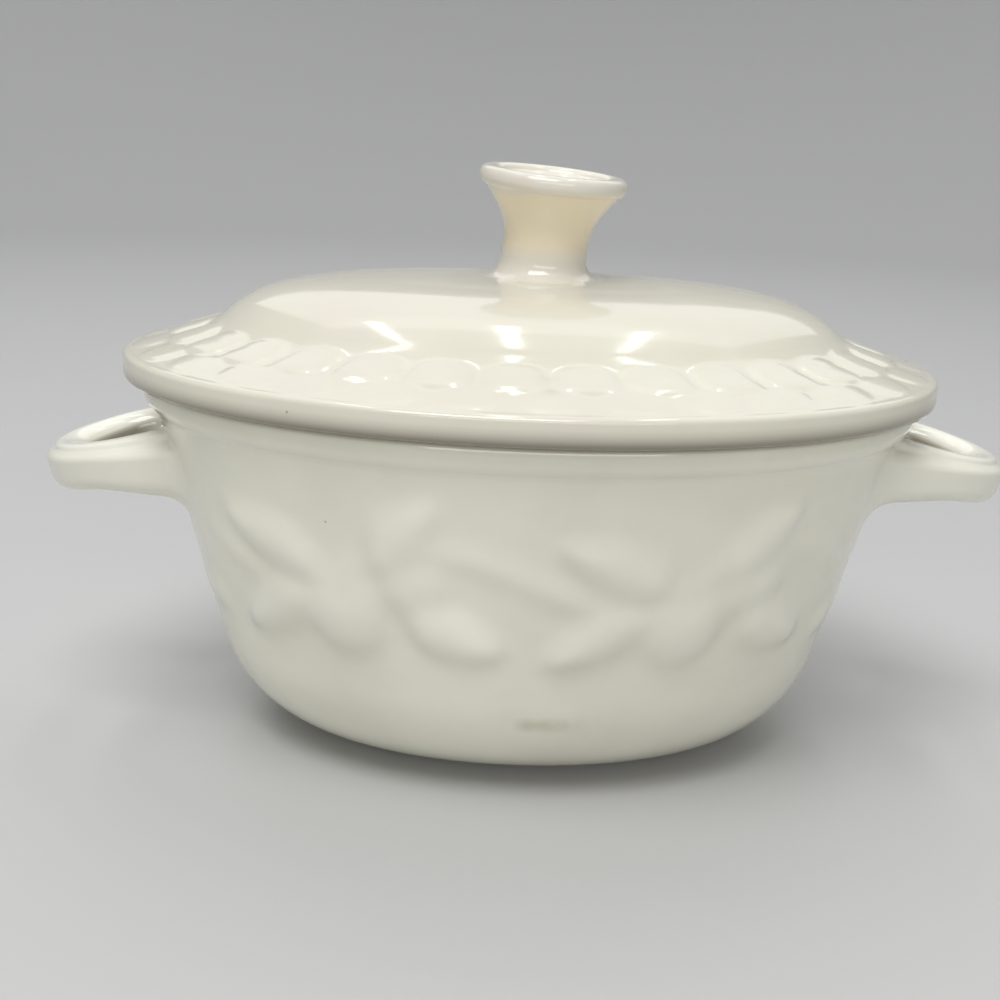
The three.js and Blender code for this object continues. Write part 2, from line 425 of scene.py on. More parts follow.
# Rows of bare clay, counted from the outer edge of the foot ring
BARE_ROWS = (-7, 1)

# Thin glaze on the relief, and painted shade on the rim's outer corner under the lid's edge
RELIEF_THIN = 0.6
RIM_PAINTED_SHADE = 0.6
RIM_PAINTED_SHADE_BELOW = 0.0017
RIM_PAINTED_SHADE_RUN = 0.0012

# Leaves and fruits of one repeat of the garland, from its middle
LEAVES = (
    ((-0.008, 0.003), (-0.030, 0.013), 0.0085),
    ((0.006, 0.006), (0.018, 0.021), 0.0080),
    ((-0.012, -0.003), (-0.031, -0.015), 0.0080),
    ((0.012, -0.006), (0.031, -0.013), 0.0085),
)
FRUITS = (((-0.003, -0.006), 0.0105, 1.0), ((0.0125, 0.002), 0.0078, 0.85))
LEAF_FULLNESS = 1.9
LEAF_POINT = 0.8
LEAF_EDGE = 2.2
LEAF_HOLLOW = 0.25
VEIN_HEIGHT = 0.35
VEIN_WIDTH = 0.12
DIMPLE_UP = 0.55
DIMPLE_SIZE = 0.3
DIMPLE_DEPTH = 0.35
STEM_HEIGHT = 0.5
STEM_SWAY = 0.0055
STEM_UP = 0.004
STEM_WIDTH = 0.0022

# Where the garland fades out towards the ears, and how much of it stays low down there
EARS_CLEAR = 0.45
EARS_FADE = 0.22
LOW_START = 0.045
LOW_FADE = 0.01
LOW_SHARE = 0.6


def wall_reach(pot, height):
    wall_top = POT_TOP.x - pot.rim_stand
    return wall_top - (POT_TOP.z - height) * math.tan(pot.draft)


def mouth_reach(pot):
    return wall_reach(pot, POT_TOP.z) - pot.wall / math.cos(pot.draft)


def pot_outside(pot):
    """Profile from the outer edge of the foot ring up to the rim"""
    rim, top = POT_TOP.x, POT_TOP.z
    band = top - pot.rim_band
    centre = wall_reach(pot, pot.corner) - pot.corner / math.cos(pot.draft)
    corner = arc((centre, pot.corner), pot.corner, -math.pi / 2, -pot.draft, steps=34)
    under = (wall_reach(pot, band - pot.rim_round), band - pot.rim_round)
    return joined(
        corner,
        line(corner[-1], under, steps=44),
        bend(under, (rim, band), (rim, band + pot.rim_round), steps=7),
        line((rim, band + pot.rim_round), (rim, top - pot.lip_round), steps=1),
        bend((rim, top - pot.lip_round), (rim, top), (rim - pot.rim_round, top), steps=10),
    )


def plain_wall(pot):
    """The outer profile without its collar, as the ears grow out of it"""
    outside = pot_outside(pot)
    below = outside[outside[:, 1] < POT_TOP.z - pot.rim_band - pot.rim_round]
    return joined(below, line(below[-1], (wall_reach(pot, POT_TOP.z), POT_TOP.z), steps=12))


def wall_field(points, outside):
    """Zero on the pot's outer wall, and above zero outside it"""
    reach = np.interp(points[..., 2], outside[:, 1], outside[:, 0])
    return np.hypot(points[..., 0] / reach, points[..., 1] / (reach - OVAL_OFFSET)) - 1


def wall_slope(points, outside):
    """Gradient of the wall's field"""
    parts = []
    for axis in np.eye(3) * SLOPE_STEP:
        ahead = wall_field(points + axis, outside)
        parts.append((ahead - wall_field(points - axis, outside)) / (2 * SLOPE_STEP))
    return np.stack(parts, -1)


def wall_gap(points, outside):
    """Distance from the pot's outer wall"""
    return wall_field(points, outside) / np.linalg.norm(wall_slope(points, outside), axis=-1)


def onto_wall(points, outside):
    for _ in range(LANDING_PASSES):
        points = points - wall_gap(points, outside)[..., None] * unit(wall_slope(points, outside))
    return points


def leaf(x, y, at, tip, width):
    """Height of a leaf from its stalk to its tip, with a midrib and a hollow on either side"""
    at, tip = np.array(at), np.array(tip)
    size = np.linalg.norm(tip - at)
    way = (tip - at) / size
    along = ((x - at[0]) * way[0] + (y - at[1]) * way[1]) / size
    across = (y - at[1]) * way[0] - (x - at[0]) * way[1]
    inside = np.clip(along, 0, 1)
    half = width * LEAF_FULLNESS * np.sqrt(inside) * (1 - inside) ** LEAF_POINT
    edge = np.clip(1 - np.abs(across) / np.maximum(half, THIN), 0, 1)
    vein = VEIN_HEIGHT * np.exp(-((across / (VEIN_WIDTH * width)) ** 2))
    body = smooth(edge * LEAF_EDGE) * (1 - LEAF_HOLLOW * edge) + vein * (edge > 0)
    return np.where((along > 0) & (along < 1), body, 0)


def fruit(x, y, at, radius, height):
    """Height of a round fruit with a dimple at its top"""
    apart = np.hypot(x - at[0], y - at[1]) / radius
    dimple = np.hypot(x - at[0], y - at[1] - DIMPLE_UP * radius) / (DIMPLE_SIZE * radius)
    hollow = DIMPLE_DEPTH * np.exp(-(dimple**2)) * (apart < 1)
    return height * (np.sqrt(np.clip(1 - apart**2, 0, 1)) - hollow)


def garland(x, y, step):
    """Height of one repeat of the garland, x along the wall and y up, both from its middle"""
    wave = STEM_UP + STEM_SWAY * np.sin(2 * np.pi * x / step)
    parts = [STEM_HEIGHT * np.exp(-(((y - wave) / STEM_WIDTH) ** 2))]
    parts += [fruit(x, y, *shape) for shape in FRUITS]
    parts += [leaf(x, y, *shape) for shape in LEAVES]
    return np.maximum.reduce(parts)


def wall_relief(pot, grid, turns, ring_length):
    """Height of the garland over the wall, faded out towards the ears"""
    step = ring_length / pot.repeats
    travel = np.linspace(0, ring_length, len(turns), endpoint=False) + step / 2
    x = (travel % step - step / 2)[None, :]
    y = grid[..., 2] - pot.relief_middle
    height = garland(x, y, step)
    clear = smooth((np.abs(np.sin(turns)) - EARS_CLEAR) / EARS_FADE)[None, :]
    low = LOW_SHARE * smooth((LOW_START - grid[..., 2]) / LOW_FADE)
    row = np.median(np.linalg.norm(np.diff(grid, axis=0), axis=-1))
    column = ring_length / len(turns)
    return softened(height * np.maximum(clear, low), pot.relief_blur, column, row)


def pot_under(pot, heel):
    """Profile from the middle of the recess to the outer edge of the foot ring"""
    foot, recess = heel - pot.foot_width, pot.foot_recess
    inner, ledge = (foot - 2 * recess, recess), (foot - recess / 2, recess / 2)
    sole = (foot + recess / 2, 0)
    return joined(
        line((FLOOR_POLE, recess), inner, steps=8),
        bend(inner, (foot - recess, recess), ledge, steps=4),
        bend(ledge, (foot, 0), sole, steps=4),
        line(sole, (heel, 0), steps=4),
    )


def pot_inside(pot, floor_top):
    """Profile from the rim down to the middle of the floor"""
    mouth, drop = mouth_reach(pot), pot.rim_round
    bowl = pot.corner - pot.wall
    bowl_top = mouth - (POT_TOP.z - floor_top - bowl) * math.tan(pot.draft)
    centre = (bowl_top - bowl / math.cos(pot.draft), floor_top + bowl)
    lip = (mouth - drop * math.tan(pot.draft), POT_TOP.z - drop)
    inner = arc(centre, bowl, -pot.draft, -math.pi / 2, steps=26)
    return joined(
        line((POT_TOP.x - drop, POT_TOP.z), (mouth + drop, POT_TOP.z), steps=3),
        bend((mouth + drop, POT_TOP.z), (mouth, POT_TOP.z), lip, steps=6),
        line(lip, inner[0], steps=24),
        inner,
        line(inner[-1], (FLOOR_POLE, floor_top), steps=8),
    )


def build_pot(pot):
    outside = pot_outside(pot)
    middle = wall_reach(pot, pot.relief_middle)
    turns, ring_length = even_turns(middle, pot.oval_core, POT_COLUMNS)
    wall = oval_turn(outside, turns, pot.oval_core)
    relief = wall_relief(pot, wall, turns, ring_length)
    wall = wall + grid_normals(wall) * (pot.relief * relief)[..., None]

    floor_top = pot.foot_recess + pot.floor
    under = pot_under(pot, outside[0, 0])
    below = oval_turn(under[:-1], turns, pot.oval_core)
    above = oval_turn(pot_inside(pot, floor_top)[1:], turns, pot.oval_core)
    grid = np.concatenate([below, wall, above])

    # Painted shade over the top of the collar, strongest at the rim under the lid's edge
    thick = RIM_PAINTED_SHADE * smooth((wall[..., 2] - POT_TOP.z + RIM_PAINTED_SHADE_BELOW) / RIM_PAINTED_SHADE_RUN)
    crest = np.zeros(grid.shape[:2])
    crest[len(below) : -len(above)] = RELIEF_THIN * relief - thick
    poles = ((0, 0, pot.foot_recess), (0, 0, floor_top))
    thing = grid_object("glazed_pot", grid, *poles, crest)
    first, last = ((len(under) + row) * POT_COLUMNS for row in BARE_ROWS)
    for face in thing.data.polygons[first:last]:
        face.material_index = 1
    return thing


# Ears

STRAP_COLUMNS = 72
LEG_RINGS = 60
FILLET_RINGS = 10
LEG_SCANS = 500
EASING_PASSES = 6

# Share of the strap's run at which its nose lies
NOSE = 0.5

# Shares that shape the strap's outline
ROUND_LIMIT = 0.45
CROWN_PULL = 0.6
CREASE_DROP = 1.6
CREASE_IN = 0.1
UNDER_IN = 0.3

# Where the fillet over the strap starts, as a share of the inner rounding
TOP_START = 1.2

# Painted shade inside the loop, and the rings from the wall over which it and the painted light on
# the strap's top fade in
LOOP_PAINTED_SHADE = 0.9
LOOP_ACROSS = 2
LOOP_DOWN = 3
FADE_START = 12
FADE_RINGS = 24


def strap_section(ear):
    """Outline of the strap: outward from its middle and up from its top"""
    half, deep = ear.thickness / 2, ear.height
    low = half - ear.undercut
    turn = min(ear.rounding, ROUND_LIMIT * (half + low))
    ridge = (half - ear.crease, -ear.shed)
    crease = (half - CREASE_IN * ear.crease, -ear.shed - ear.crease)
    outline = joined(
        bend((0, 0), (CROWN_PULL * half, 0), ridge, steps=10),
        bend(ridge, (half, -CREASE_DROP * ear.shed), crease, steps=10),
        bend((low + turn * UNDER_IN, turn - deep), (low, -deep), (low - turn, -deep), steps=12),
        bend((turn - half, -deep), (-half, -deep), (-half, turn - deep), steps=12),
        bend((-half, -ear.inner_round), (-half, 0), (0, 0), steps=14),
    )
    return even(outline, STRAP_COLUMNS)


def strap_points(ear, hub, top, where, section):
    """Points of the strap's surface at shares of its run, one column for each section point"""
    reach, half = EAR_NOSE - ear.thickness / 2 - hub, ear.span / 2
    legs = line((hub - ear.root, half), (hub, half), steps=20)
    loop = arc((0, 0), 1, math.pi / 2, -math.pi / 2, steps=240)
    route = joined(legs, np.array([[hub, 0]]) + loop * [reach, half], legs[::-1] * [1, -1])
    travel = travelled(route)
    travel /= travel[-1]
    heading = unit(np.gradient(route, axis=0))
    x, y = (np.interp(where, travel, route[:, k]) for k in range(2))
    ahead, aside = (np.interp(where, travel, heading[:, k]) for k in range(2))
    flare = smooth((hub - ear.flare_end + ear.flare - x) / ear.flare)
    out = section[:, 0] * (1 + (ear.root_thickness / ear.thickness - 1) * flare)
    up = section[:, 1] * (1 + (ear.root_height / ear.height - 1) * flare)
    z = top - (x - hub) * math.tan(ear.droop) + up
    return np.stack([x - aside * out, y + ahead * out, z], -1)


def first_below(values, limits, where):
    """Where each column of falling values first passes its limit"""
    past = np.maximum(np.argmax(values < limits, axis=0), 1)
    column = np.arange(values.shape[1])
    before, after = values[past - 1, column], values[past, column]
    part = np.clip((before - limits) / np.maximum(before - after, TINY), 0, 1)
    return where[past - 1] + part * (where[past] - where[past - 1])


def ear_leg(ear, outside, hub, top, section, end):
    """Rings from the nose to the wall, where the leg bends out into a fillet flush with the wall"""
    scan = np.linspace(NOSE, end, LEG_SCANS)
    gaps = wall_gap(strap_points(ear, hub, top, scan[:, None], section), outside)
    low = np.clip(-section[:, 1] / ear.height * 2 - 1, 0, 1)
    high = smooth(TOP_START + section[:, 1] / ear.inner_round)
    below, above = ear.low_fillet - ear.fillet, ear.top_fillet - ear.fillet
    fillet = ear.fillet + below * low + above * high
    leave = first_below(gaps, fillet, scan)
    hit = first_below(gaps, np.zeros_like(fillet), scan)
    start = strap_points(ear, hub, top, leave[None, :], section)[0]
    corner = strap_points(ear, hub, top, hit[None, :], section)[0]
    way = unit(corner - start)
    round_about = np.roll(start, -1, 0) - np.roll(start, 1, 0)
    out = unit(np.cross(round_about, way))
    out *= np.sign(np.sum(out * (start - start.mean(0)), axis=-1, keepdims=True))
    for _ in range(EASING_PASSES):
        out = unit(np.roll(out, 1, 0) + 2 * out + np.roll(out, -1, 0))
    out = flattened(out, unit(wall_slope(corner, outside)))
    landing = onto_wall(corner + out * fillet[:, None], outside)
    normal = unit(wall_slope(landing, outside))
    flat = flattened(unit(landing - corner), normal)
    curve = bezier(
        start,
        start + way * FILLET_PULL * np.linalg.norm(corner - start, axis=-1, keepdims=True),
        landing - flat * FILLET_PULL * np.linalg.norm(landing - corner, axis=-1, keepdims=True),
        landing,
        steps=FILLET_RINGS,
    )
    runs = NOSE + (leave - NOSE) * np.linspace(0, 1, LEG_RINGS)[:, None]
    strap = strap_points(ear, hub, top, runs, section)
    return np.concatenate([strap, curve[1:], tucked(landing, flat, normal)])


def build_ear(ear, pot, side, top):
    """A loop ear at the right end, or turned half round to the left end"""
    outside = plain_wall(pot)
    hub = wall_reach(pot, POT_TOP.z - ear.below_rim) + ear.stand
    section = strap_section(ear)
    near = ear_leg(ear, outside, hub, top, section, 0.0)
    far = ear_leg(ear, outside, hub, top, section, 1.0)
    grid = np.concatenate([near[::-1], far[1:]])
    if side == "left":
        grid = grid * [-1, -1, 1]
    # Painted light on the strap's top, and painted shade on the inner face of the loop below its
    # top
    inner = smooth(-section[:, 0] / ear.thickness * LOOP_ACROSS)
    inside = inner * smooth(-section[:, 1] / ear.height * LOOP_DOWN)
    upper = smooth(1 + section[:, 1] / ear.rounding)
    rows = np.arange(len(grid))
    from_wall = np.minimum(rows, rows[::-1])[:, None]
    crest = (upper - LOOP_PAINTED_SHADE * inside) * smooth((from_wall - FADE_START) / FADE_RINGS)
    return grid_object("glazed_ear_" + side, grid, grid[0].mean(0), grid[-1].mean(0), crest)


# Lid

BORDER_STEPS = 32
FLANGE_SOFT = 0.3

# Width, taper and fullness of the lobes, as shares of a step
INNER_WIDTH = 0.92
OUTER_WIDTH = 0.82
OUTER_TAPER = 0.14
INNER_FULLNESS = 3.0
OUTER_FULLNESS = 2.6

# Thin glaze on the lobes, and painted shade low on the edge
LOBE_THIN = 0.3
EDGE_PAINTED_SHADE = 0.9
EDGE_PAINTED_SHADE_REACH = 0.7


def dome_foot(lid):
    """Reach and height of the foot of the dome"""
    base = POT_TOP.z + lid.seat_gap + lid.edge + lid.border_rise
    return LID_TOP.x - lid.edge_round - lid.border, base


def dome_profile(lid):
    """Profile of the dome from its foot to its top"""
    foot, base = dome_foot(lid)
    run, rise = math.cos(lid.dome_wall), math.sin(lid.dome_wall)
    shoulder = (foot - run * lid.dome_shoulder, base + rise * lid.dome_shoulder)
    return bezier((foot, base), shoulder, (lid.dome_crown, LID_TOP.z), (0.0, LID_TOP.z), steps=36)


def lid_under(lid, pot):
    """Profile from the middle of the hollow to the outer corner of the seat"""
    seat = POT_TOP.z + lid.seat_gap
    drop, low = seat - LID_LOW.z, LID_LOW.z
    flange = mouth_reach(pot) - drop * math.tan(pot.draft) - lid.flange_clearance
    hollow, top = flange - lid.flange_wall, LID_TOP.z - lid.wall
    shoulder = (dome_foot(lid)[0] - lid.wall, top - lid.wall / 2)
    side = (hollow, top - lid.hollow_shoulder)
    soft = FLANGE_SOFT * lid.flange_wall
    out = flange + drop * math.tan(pot.draft)
    return joined(
        bezier((0.0, top), (lid.dome_crown, top), shoulder, side, steps=18),
        line(side, (hollow, low + soft), steps=4),
        bend((hollow, low + soft), (hollow, low), (hollow + soft, low), steps=4),
        bend((flange - soft, low), (flange, low), (flange + soft / 4, low + soft), steps=4),
        bend((out - soft / 4, seat - soft), (out, seat), (out + soft, seat), steps=4),
        line((out + soft, seat), (LID_TOP.x - lid.edge_under, seat), steps=6),
    )


def lid_over(lid):
    """Profile from the lower corner of the edge over the border and the dome to its top"""
    seat = POT_TOP.z + lid.seat_gap
    top, reach = seat + lid.edge, LID_TOP.x
    turn, low, corner = lid.edge_round, lid.edge_under, lid.edge_corner
    foot = np.array(dome_foot(lid))
    dome = dome_profile(lid)
    dome = dome[np.linalg.norm(dome - foot, axis=1) > lid.foot_soft]
    flat_end = foot + unit(np.array((reach - turn, top)) - foot) * lid.foot_soft
    return joined(
        bend((reach - low, seat), (reach, seat), (reach, seat + low), steps=9),
        line((reach, seat + low), (reach, top - corner), steps=3),
        bend((reach, top - corner), (reach, top), (reach - turn, top), steps=8),
        line((reach - turn, top), flat_end, steps=BORDER_STEPS),
        bend(flat_end, foot, dome[0], steps=16),
        dome[:-1],
    )


def pillow(across, along, fullness):
    """Height of a rounded lobe, 1 in its middle and 0 past its outline"""
    return np.sqrt(np.clip(1 - np.abs(across) ** fullness - np.abs(along) ** fullness, 0, 1))


def border_relief(lid, steps, inset):
    """Height of both rows of lobes, the outer row half a step on and tapered towards the edge"""
    inner = 2 * (steps - np.round(steps)) / INNER_WIDTH
    outer = 2 * (steps + 0.5 - np.round(steps + 0.5))
    inward = (inset - lid.inner_inset) / (lid.inner_length / 2)
    outward = (inset - lid.outer_inset) / (lid.outer_length / 2)
    width = OUTER_WIDTH + OUTER_TAPER * np.clip(outward, -1, 1)
    return np.maximum(
        lid.inner_height * pillow(inner, inward, INNER_FULLNESS),
        lid.outer_height * pillow(outer / width, outward, OUTER_FULLNESS),
    )


def build_lid(lid, pot):
    seat = POT_TOP.z + lid.seat_gap
    under, upper = lid_under(lid, pot), lid_over(lid)
    columns = lid.lobe_columns * lid.lobes
    turns, ring_length = even_turns(LID_TOP.x - lid.inner_inset, pot.oval_core, columns)
    over = oval_turn(upper, turns, pot.oval_core)
    steps = (np.arange(columns) / lid.lobe_columns + lid.lobe_turn)[None, :]
    inset = (LID_TOP.x - upper[:, 0])[:, None]
    on_top = (upper[:, 1] > seat + lid.edge - lid.edge_corner)[:, None]
    row = (lid.border - lid.foot_soft) / BORDER_STEPS
    relief = border_relief(lid, steps, inset) * on_top
    relief = softened(relief, lid.lobe_blur, ring_length / columns, row)
    over = over + grid_normals(over) * relief[..., None]
    below = oval_turn(under[1:-1], turns, pot.oval_core)
    grid = np.concatenate([below, over])

    # Painted shade over the lower part of the lid's edge, strongest at the seat
    thick = EDGE_PAINTED_SHADE * (1 - smooth((upper[:, 1:] - seat) / (EDGE_PAINTED_SHADE_REACH * lid.edge)))
    crest = np.zeros(grid.shape[:2])
    crest[len(below) :] = LOBE_THIN * relief / lid.inner_height - thick
    poles = ((0, 0, under[0, 1]), (0, 0, LID_TOP.z))
    return grid_object("glazed_lid", grid, *poles, crest)


# Knob

KNOB_COLUMNS = 128
KNOB_ROOT = 0.001
DISH_POLE = 0.0008
DISH_FLAT = 0.7
DISH_STEP = 0.0006
DISH_SIDE = 0.55
BEAD_TOP = 0.4
BEAD_ROUND = 0.0006
BEAD_TUCK = 0.0016
FLARE_IN = 0.0042
FLARE_DOWN = 0.0034
NECK_PULL = 0.0052
NECK_SPREAD = 0.0002
NECK_END = 0.55


def dome_height(points, lid, core):
    """Height of the dome over points in plan"""
    dome = dome_profile(lid)
    reach = np.hypot(points[..., 0], points[..., 1] / squeeze(0.0, core))
    return np.interp(reach, dome[::-1, 0], dome[::-1, 1])


def knob_profile(knob):
    """Profile from the middle of the dished top over the bead down to the neck"""
    lip, neck, top = knob.lip / 2, knob.neck / 2, knob.height
    bead_foot = top - knob.bead
    rim = lip - knob.bead_width
    dish = top - knob.dish
    side = (rim - DISH_STEP, top - DISH_SIDE * knob.dish)
    crown = (rim + BEAD_TOP * knob.bead_width, top)
    bulge = (lip, top - knob.bead / 2)
    tuck = (lip - BEAD_TUCK, bead_foot)
    flare = (lip - FLARE_IN, bead_foot - FLARE_DOWN)
    waist = (neck, knob.neck_height)
    return joined(
        bend((DISH_POLE, dish), (rim * DISH_FLAT, dish), side, steps=14),
        bend(side, (rim, top), crown, steps=8),
        bend(crown, (lip, top), bulge, steps=10),
        bend(bulge, (lip, bead_foot + BEAD_ROUND), tuck, steps=8),
        bezier(tuck, flare, (neck, knob.neck_height + NECK_PULL), waist, steps=22),
        line(waist, (neck + NECK_SPREAD, NECK_END * knob.neck_height), steps=5),
    )


def build_knob(knob, lid, pot):
    turns = full_turn(KNOB_COLUMNS)
    x, y, z = np.moveaxis(round_turn(knob_profile(knob), turns), -1, 0)
    y, z = turned(y, z, knob.nod)
    z, x = turned(z, x, knob.lean)
    grid = np.stack([x + knob.offset, y, LID_TOP.z + z], -1)
    outward = np.stack([np.cos(turns), np.sin(turns), np.zeros_like(turns)], -1)
    start = grid[-1]
    way = unit(grid[-1] - grid[-2])
    corner = start.copy()
    corner[:, 2] = dome_height(start, lid, pot.oval_core)
    landing = corner + outward * knob.fillet
    landing[:, 2] = dome_height(landing, lid, pot.oval_core)
    drop = np.linalg.norm(corner - start, axis=-1, keepdims=True)
    flat = unit(landing - corner)
    above, beside = start + way * FILLET_PULL * drop, landing - flat * FILLET_PULL * knob.fillet
    skirt = bezier(start, above, beside, landing, steps=12)
    up = np.array([0, 0, 1])
    grid = np.concatenate([grid, skirt[1:], tucked(landing, flat, up)])
    return grid_object("glazed_knob", grid, grid[0].mean(0), grid[-1].mean(0) - up * KNOB_ROOT)


# Finishes

# Warm zone of the knob, over the dome and under the knob's top
WARM_RISE = (0.0045, 0.0075)
WARM_FALL = (-0.0072, -0.0052)
WARM_SHARE = 0.75

# Limits of the stain near the foot
STAIN_UP = ((0.018, 0.02), (0.021, 0.023))
STAIN_ALONG = ((-0.002, 0.001), (0.012, 0.015))
STAIN_FRONT = (-0.02, -0.03)

CLAY_SHADE = 0.6


def add_node(tree, kind, **settings):
    node = tree.nodes.new(kind)
    for name, value in settings.items():
        setattr(node, name, value)
    return node


def set_inputs(node, **values):
    for name, value in values.items():
        node.inputs[name.replace("_", " ")].default_value = value
    return node


def feed(tree, socket, value):
    """Links a socket to another one, or sets it to a plain value"""
    if isinstance(value, bpy.types.NodeSocket):
        tree.links.new(value, socket)
    else:
        socket.default_value = value


def rgba(linear):
    return (*linear, 1.0)


def mix_colour(tree, factor, first, second):
    """A colour mix, whose factor and colours are sockets or plain values"""
    node = add_node(tree, "ShaderNodeMix", data_type="RGBA")
    for name, value in (("Factor_Float", factor), ("A_Color", first), ("B_Color", second)):
        feed(tree, next(s for s in node.inputs if s.identifier == name), value)
    return next(s for s in node.outputs if s.identifier == "Result_Color")


def ranged(tree, value, span, to=(0, 1)):
    """A value mapped from one range to another, clamped"""
    node = add_node(tree, "ShaderNodeMapRange")
    set_inputs(node, From_Min=span[0], From_Max=span[1], To_Min=to[0], To_Max=to[1])
    tree.links.new(value, node.inputs["Value"])
    return node.outputs["Result"]


def product(tree, first, second):
    node = add_node(tree, "ShaderNodeMath", operation="MULTIPLY")
    for socket, value in zip(node.inputs, (first, second)):
        feed(tree, socket, value)
    return node.outputs[0]


def between(tree, value, rise, fall):
    """A mask that rises over one range and falls over another"""
    return product(tree, ranged(tree, value, rise), ranged(tree, value, fall, to=(1, 0)))


def noise(tree, place, scale, detail, roughness=0.5):
    node = add_node(tree, "ShaderNodeTexNoise")
    set_inputs(node, Scale=scale, Detail=detail, Roughness=roughness)
    tree.links.new(place, node.inputs["Vector"])
    return node.outputs["Fac"]


def object_axes(tree):
    place = add_node(tree, "ShaderNodeTexCoord").outputs["Object"]
    axes = add_node(tree, "ShaderNodeSeparateXYZ")
    tree.links.new(place, axes.inputs["Vector"])
    return place, axes.outputs


def new_material(name):
    material = bpy.data.materials.new(name)
    material.use_nodes = True
    return material, material.node_tree, material.node_tree.nodes["Principled BSDF"]


def add_bump(tree, shader, height, **settings):
    bump = set_inputs(add_node(tree, "ShaderNodeBump"), **settings)
    tree.links.new(height, bump.inputs["Height"])
    tree.links.new(bump.outputs["Normal"], shader.inputs["Normal"])


def iron_specks(group, place):
    """A mask of small rare specks"""
    cells = set_inputs(add_node(group, "ShaderNodeTexVoronoi"), Scale=75)
    group.links.new(place, cells.inputs["Vector"])
    chosen = add_node(group, "ShaderNodeSeparateColor")
    group.links.new(cells.outputs["Color"], chosen.inputs["Color"])
    spot = ranged(group, cells.outputs["Distance"], span=(0.014, 0.028), to=(1, 0))
    rare = ranged(group, chosen.outputs["Red"], span=(0.45, 0.46), to=(0, 0.6))
    return product(group, spot, rare)


def glaze_group(colours):
    """How the glaze varies: it pools, runs thinner on raised relief, holds clouds and iron specks,
    and carries painted light and shade
    """
    group = bpy.data.node_groups.new("ivory_glaze", "ShaderNodeTree")
    number, tint = "NodeSocketFloat", "NodeSocketColor"
    for name, kind in (("Glaze", tint), ("Crest", number), ("Clouds", number)):
        group.interface.new_socket(name, in_out="INPUT", socket_type=kind)
    for name, kind in (("Color", tint), ("Roughness", number), ("Height", number)):
        group.interface.new_socket(name, in_out="OUTPUT", socket_type=kind)
    given = add_node(group, "NodeGroupInput").outputs
    result = add_node(group, "NodeGroupOutput").inputs
    place = add_node(group, "ShaderNodeTexCoord").outputs["Object"]

    clouds = ranged(group, noise(group, place, scale=17, detail=3), span=(0.42, 0.72))
    clouds = product(group, clouds, given["Clouds"])
    patches = noise(group, place, scale=42, detail=4, roughness=0.6)
    patches = ranged(group, patches, span=(0.45, 0.7), to=(0, 0.16))
    # Above 0 the mark is thinner glaze on raised relief and painted light on the ears' tops; below
    # 0 it is painted shade
    crests_and_painted_light = ranged(group, given["Crest"], span=(0.25, 1.0), to=(0, 0.5))
    painted_shade_mask = ranged(group, given["Crest"], span=(0.0, -1.0))
    tone = given["Glaze"]
    for mask, shade in (
        (clouds, colours.blush),
        (patches, colours.pooled),
        (crests_and_painted_light, colours.thin_and_painted_light),
        (painted_shade_mask, colours.deep),
        (iron_specks(group, place), colours.speck),
    ):
        tone = mix_colour(group, mask, tone, rgba(shade))

    gloss = noise(group, place, scale=60, detail=3)
    group.links.new(tone, result["Color"])
    group.links.new(ranged(group, gloss, span=(0.3, 0.7), to=(0.09, 0.15)), result["Roughness"])
    group.links.new(noise(group, place, scale=120, detail=2), result["Height"])
    return group


def glaze_material(name, colours, glaze, clouds, extra=None):
    """A glossy glaze on clay. Extra adds a tone of the piece's own to the colour."""
    material, tree, shader = new_material(name)
    set_inputs(shader, IOR=1.5, Coat_Weight=0.25, Coat_Roughness=0.03)
    group = bpy.data.node_groups.get("ivory_glaze") or glaze_group(colours)
    effect = add_node(tree, "ShaderNodeGroup", node_tree=group)
    set_inputs(effect, Glaze=rgba(glaze), Clouds=clouds)
    # The crest mark brings thinner glaze, painted light and painted shade from the mesh
    crest = add_node(tree, "ShaderNodeAttribute", attribute_name="crest")
    tree.links.new(crest.outputs["Fac"], effect.inputs["Crest"])
    tone = effect.outputs["Color"]
    if extra:
        tone = extra(tree, tone, colours)
    tree.links.new(tone, shader.inputs["Base Color"])
    tree.links.new(effect.outputs["Roughness"], shader.inputs["Roughness"])
    add_bump(tree, shader, effect.outputs["Height"], Strength=0.12, Distance=0.0004)
    return material


def knob_warmth(tree, tone, colours):
    """A warm tone between the neck and the bead of the knob"""
    _, axes = object_axes(tree)
    rise = [LID_TOP.z + height for height in WARM_RISE]
    fall = [KNOB_TOP.z + height for height in WARM_FALL]
    mask = product(tree, between(tree, axes["Z"], rise, fall), WARM_SHARE)
    return mix_colour(tree, mask, tone, rgba(colours.warm))


def foot_stain(tree, tone, colours):
    """A faint brown stain low on the front of the pot"""
    place, axes = object_axes(tree)
    patch = product(
        tree, between(tree, axes["Z"], *STAIN_UP), between(tree, axes["X"], *STAIN_ALONG)
    )
    front = ranged(tree, axes["Y"], STAIN_FRONT)
    broken = ranged(
        tree, noise(tree, place, scale=150, detail=4), span=(0.35, 0.6), to=(0.1, 0.4)
    )
    mask = product(tree, patch, product(tree, front, broken))
    return mix_colour(tree, mask, tone, rgba(colours.stain))


def clay_material(colours):
    """Bare clay with a fine grain"""
    material, tree, shader = new_material("bare_clay")
    place, _ = object_axes(tree)
    grain = noise(tree, place, scale=900, detail=6, roughness=0.7)
    dark = tuple(CLAY_SHADE * c for c in colours.clay)
    mask = ranged(tree, grain, span=(0.35, 0.7))
    tone = mix_colour(tree, mask, rgba(dark), rgba(colours.clay))
    tree.links.new(tone, shader.inputs["Base Color"])
    rough = ranged(tree, grain, span=(0.3, 0.7), to=(0.65, 0.9))
    tree.links.new(rough, shader.inputs["Roughness"])
    add_bump(tree, shader, grain, Strength=0.5, Distance=0.0002)
    return material


# Stage

